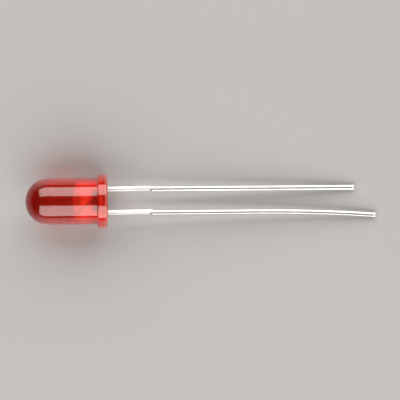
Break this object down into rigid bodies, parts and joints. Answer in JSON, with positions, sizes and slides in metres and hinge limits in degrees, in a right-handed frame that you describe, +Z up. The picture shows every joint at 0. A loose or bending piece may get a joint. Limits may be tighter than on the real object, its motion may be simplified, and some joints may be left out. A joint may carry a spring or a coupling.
{
  "type": "through hole led",
  "caption": "Red light emitting diode with a round domed lens on a flange and two stamped metal leads of unequal length, for soldering through a circuit board.",
  "frame": {"origin": "middle of the part's footprint, on the surface that it lies on", "axes": "+X along the part from the dome to the lead tips, +Y across both leads from the anode to the cathode, +Z up from the surface; the lens axis is tilted 5.4 degrees, dome end up"},
  "size_m": [0.0376, 0.0058, 0.006],
  "materials": {
    "red_epoxy": "clear tinted, polished mould",
    "tinned_lead": "bright tin plate",
    "semiconductor": "sawn crystal",
    "silver_adhesive": "cured silver paste",
    "gold_wire": "drawn bright"
  },
  "bodies": {
    "root": {"lens": "red_epoxy", "cathode_lead": "tinned_lead", "anode_lead": "tinned_lead", "led_die": "semiconductor", "die_adhesive": "silver_adhesive", "bond_wire": "gold_wire"}
  },
  "joints": []
}
